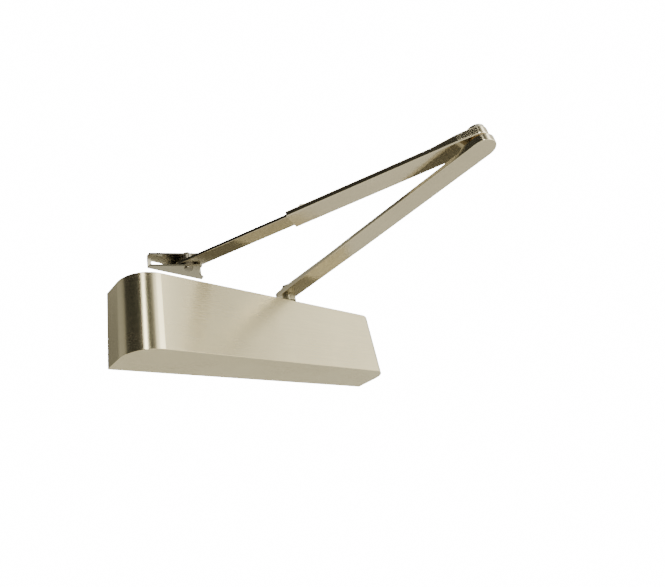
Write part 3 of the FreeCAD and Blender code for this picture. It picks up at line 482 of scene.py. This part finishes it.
def plain_floor():
    """Pale paper."""
    material, tree, shader, coordinates = new_material(
        "floor_paper", colour=(0.85, 0.85, 0.84), roughness=0.9, metallic=0.0)
    cloud = noise(tree, coordinates["Object"], scale=4.0)
    feed(tree, blend(tree, cloud, (0.84, 0.84, 0.83), (0.87, 0.87, 0.86)), shader["Base Color"])
    return material


def paint(material, *nodes):
    for node in nodes:
        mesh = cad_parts[node].data
        mesh.materials.clear()
        mesh.materials.append(material)


def middle(node):
    low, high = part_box(node)
    return tuple((a + b) / 2 for a, b in zip(low, high))


# Picking in edit mode

def open_edit(what):
    bpy.ops.object.mode_set(mode="EDIT")
    bpy.ops.mesh.select_mode(type=what)
    bpy.ops.mesh.select_all(action="DESELECT")


def pick(elements, wanted):
    """Selects the faces or edges that wanted() says yes to, and leaves the piece in edit mode."""
    bpy.ops.mesh.select_all(action="DESELECT")
    bpy.ops.object.mode_set(mode="OBJECT")
    for element in elements(bpy.context.object.data):
        element.select = wanted(element)
    bpy.ops.object.mode_set(mode="EDIT")


def pick_disc(height):
    """Selects the level many-sided face at this height."""
    lift = bpy.context.object.location.z

    def wanted(face):
        level = abs(face.normal.z) > 0.9 and len(face.vertices) > 4
        return level and abs(lift + face.center.z - height) < pick_reach
    pick(lambda mesh: mesh.polygons, wanted)


def pick_rings(rings):
    """Selects the level edges at each (radius, height)."""
    lift = bpy.context.object.location.z

    def near(point, radius, height):
        off_radius = abs(math.hypot(point.x, point.y) - radius)
        return off_radius < pick_reach and abs(lift + point.z - height) < pick_reach

    def wanted(edge):
        ends = [bpy.context.object.data.vertices[v].co for v in edge.vertices]
        return any(all(near(end, *ring) for end in ends) for ring in rings)
    pick(lambda mesh: mesh.edges, wanted)


# The two pieces made here: the collar under the main arm, and the closing spring

def make_collar():
    """Turned ring under the main arm, with rounded edges and a skirt round the neck of the spindle."""
    centre = middle("spindle_collar")
    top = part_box("spindle_collar")[1][2]
    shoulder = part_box("spindle_collar")[0][2]
    foot = shoulder - skirt_length
    bpy.ops.object.select_all(action="DESELECT")
    bpy.ops.mesh.primitive_cylinder_add(vertices=collar_sides, radius=collar_radius, depth=top - foot,
                                        end_fill_type="NGON",
                                        location=(centre[0], centre[1], (top + foot) / 2))
    collar = bpy.context.object
    collar.name = "turned_collar"
    open_edit("FACE")
    pick_disc(top)
    bpy.ops.mesh.inset(thickness=collar_radius - collar_bore_radius)
    bpy.ops.mesh.delete(type="FACE")
    pick_disc(foot)
    bpy.ops.mesh.inset(thickness=collar_radius - skirt_bore_radius)
    bpy.ops.mesh.extrude_region_move(TRANSFORM_OT_translate={"value": (0, 0, skirt_length)})
    bpy.ops.mesh.inset(thickness=skirt_bore_radius - collar_bore_radius)
    bpy.ops.mesh.delete(type="FACE")
    bpy.ops.mesh.select_mode(type="EDGE")
    pick_rings([(collar_bore_radius, top), (collar_bore_radius, shoulder)])
    bpy.ops.mesh.bridge_edge_loops()
    pick_rings([(collar_radius, foot)])
    bpy.ops.mesh.bevel(offset=foot_bevel, segments=foot_bevel_steps, affect="EDGES")
    pick_rings([(collar_radius, top), (skirt_bore_radius, foot)])
    bpy.ops.mesh.bevel(offset=edge_bevel, segments=edge_bevel_steps, affect="EDGES")
    bpy.ops.mesh.select_all(action="SELECT")
    bpy.ops.mesh.normals_make_consistent(inside=False)
    bpy.ops.object.mode_set(mode="OBJECT")
    bpy.ops.object.transform_apply(location=True)
    bpy.ops.object.shade_smooth_by_angle(angle=math.radians(collar_smooth_angle))
    collar.data.materials.append(
        turned_metal("collar_nickel", (0.37, 0.34, 0.26), centre, roughness=0.42))
    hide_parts("spindle_collar")
    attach(collar, "pinion")


def make_spring():
    """Round wire wound into a coil."""
    axis = middle("closing_spring")
    bpy.ops.object.select_all(action="DESELECT")
    bpy.ops.mesh.primitive_circle_add(vertices=wire_sides, radius=wire_radius, fill_type="NOTHING",
                                      location=(spring_start, 0, coil_radius),
                                      rotation=(math.radians(90), 0, 0))
    spring = bpy.context.object
    spring.name = "coiled_spring"
    bpy.ops.object.transform_apply(location=True, rotation=True)
    winding = spring.modifiers.new("winding", "SCREW")
    winding.axis = "X"
    winding.screw_offset = (spring_end - spring_start) / spring_turns
    winding.iterations = spring_turns
    winding.steps = steps_per_turn
    winding.render_steps = steps_per_turn
    winding.use_merge_vertices = False
    bpy.ops.object.modifier_apply(modifier="winding")
    open_edit("VERT")
    bpy.ops.mesh.select_all(action="SELECT")
    bpy.ops.mesh.remove_doubles(threshold=merge_reach)
    bpy.ops.mesh.fill_holes(sides=wire_sides)
    bpy.ops.mesh.select_all(action="SELECT")
    bpy.ops.mesh.normals_make_consistent(inside=False)
    bpy.ops.transform.translate(value=(0, axis[1], axis[2]))
    bpy.ops.object.mode_set(mode="OBJECT")
    bpy.ops.object.shade_smooth_by_angle(angle=math.radians(spring_smooth_angle))
    spring.data.materials.append(oiled_spring())
    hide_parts("closing_spring")
    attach(spring, "closer_body")
    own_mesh(spring)


# Studio

def from_direction(azimuth, elevation, distance):
    a, e = math.radians(azimuth), math.radians(elevation)
    return Vector((math.cos(a) * math.cos(e), math.sin(a) * math.cos(e), math.sin(e))) * distance


def add_softbox(name, azimuth, elevation, distance, size, brightness):
    data = bpy.data.lights.new(name, "AREA")
    data.shape = "RECTANGLE"
    data.size, data.size_y = size
    data.energy = math.pi * size[0] * size[1] * brightness
    data.color = room_tint
    light = bpy.data.objects.new(name, data)
    place = from_direction(azimuth, elevation, distance)
    light.location = place
    light.rotation_euler = (-place).to_track_quat("-Z", "Y").to_euler()
    bpy.context.collection.objects.link(light)


def room_band(tree, around, levels):
    """Brightness by direction, at one level of the room."""
    ramp = tree.nodes.new("ShaderNodeValToRGB")
    feed(tree, around, ramp.inputs[0])
    stops = ramp.color_ramp.elements
    while len(stops) < len(levels):
        stops.new(0.5)
    for stop, (azimuth, level) in zip(stops, levels):
        stop.position = 0.5 + azimuth / 360
        stop.color = (*[level / room_top] * 3, 1)
    return calculate(tree, "MULTIPLY", ramp.outputs[0], room_top)


def add_room():
    world = bpy.data.worlds.new("studio")
    world.use_nodes = True
    tree = world.node_tree
    direction = tree.nodes.new("ShaderNodeTexCoord").outputs["Generated"]
    radial = tree.nodes.new("ShaderNodeTexGradient")
    radial.gradient_type = "RADIAL"
    feed(tree, direction, radial.inputs[0])
    around = radial.outputs["Fac"]
    height = split(tree, direction)["Z"]
    level = fade(tree, ease(tree, height, *eye_to_high), room_band(tree, around, eye_levels),
                 room_band(tree, around, high_levels))
    level = fade(tree, ease(tree, height, *high_to_overhead), level, overhead_level)
    level = fade(tree, ease(tree, height, *low_to_eye, to_low=1.0, to_high=0.0), level,
                 room_band(tree, around, low_levels))
    seen = tree.nodes.new("ShaderNodeLightPath").outputs["Is Camera Ray"]
    back = tree.nodes["Background"]
    feed(tree, blend(tree, seen, room_tint, white), back.inputs["Color"])
    feed(tree, fade(tree, seen, level, backdrop_level), back.inputs["Strength"])
    bpy.context.scene.world = world


def add_floor():
    bpy.ops.object.select_all(action="DESELECT")
    bpy.ops.mesh.primitive_plane_add(size=floor_size, location=(0, 0, floor_height))
    floor = bpy.context.object
    floor.name = "floor"
    floor.data.materials.append(plain_floor())


# Finishes on the closer's own pieces

paint(brushed_nickel("cover_nickel", along_cover, light=(0.69, 0.63, 0.48), dark=(0.62, 0.565, 0.43),
                     smooth=0.23, rough=0.28, stretch=0.82, straight=True), "cover")
paint(brushed_nickel("arm_nickel", along_main_arm, light=(0.70, 0.64, 0.52), dark=(0.61, 0.56, 0.455)),
      "main_arm")
paint(brushed_nickel("sleeve_nickel", along_forearm, light=(0.68, 0.62, 0.51), dark=(0.59, 0.54, 0.44),
                     relief=0.08), "forearm_sleeve")
# The rod is the same nickel as the sleeve, given a darker tone: a painted dark reflection of its
# surroundings
paint(brushed_nickel("rod_nickel_painted_dark", along_forearm, light=(0.50, 0.46, 0.385), dark=(0.42, 0.385, 0.32)),
      "forearm_rod")
paint(brushed_nickel("shoe_nickel", along_cover, light=(0.44, 0.415, 0.36), dark=(0.38, 0.36, 0.31),
                     smooth=0.2, rough=0.28), "shoe")

paint(zinc_plate("plate_zinc", (0.60, 0.61, 0.61)), "mounting_plate", "cover_brackets")
paint(zinc_plate("clip_zinc", (0.38, 0.37, 0.34), roughness=0.3), "pin_clip")
paint(zinc_plate("screw_zinc", (0.66, 0.66, 0.64), roughness=0.3), "body_screws", "bracket_screws")
paint(cast_iron("body_iron", middle("pinion_shaft")), "cylinder_body")

bright = (0.64, 0.62, 0.57)
for name, axis in (
        ("upper_bearing_cap", "Z"), ("lower_bearing_cap", "Z"), ("arm_washer", "Z"),
        ("arm_screw", "Z"), ("elbow_screw", "Z"), ("clamp_screw", "Z"),
        ("spring_end_plug", "X"), ("valve_end_plug", "X"), ("spring_adjuster", "X"),
        ("closing_valve", "X"), ("latching_valve", "X"), ("backcheck_valve", "X")):
    paint(turned_metal(name + "_steel", bright, middle(name), axis), name)
paint(turned_metal("pin_steel", (0.34, 0.32, 0.29), middle("shoe_pin")), "shoe_pin", "pin_spacers")
ground = (0.50, 0.50, 0.50)
for name, axis in (
        ("pinion_shaft", "Z"), ("piston", "X"), ("piston_rings", "X"), ("spring_seat", "X"),
        ("check_valve_ball", "X"), ("check_valve_clip", "X")):
    paint(turned_metal(name + "_ground", ground, middle(name), axis, roughness=0.24), name)
paint(sintered_bronze(), "upper_bearing", "lower_bearing", "elbow_bush")
paint(seal_rubber(), "shaft_seals", "plug_seals", "closing_valve_seal", "latching_valve_seal",
      "backcheck_valve_seal")

make_collar()
make_spring()

add_camera()
add_room()
add_floor()
add_softbox("front_box", azimuth=-78, elevation=17, distance=1.8, size=(0.5, 1.2), brightness=4.0)
add_softbox("overhead", azimuth=60, elevation=82, distance=2.2, size=(1.4, 1.4), brightness=3.0)
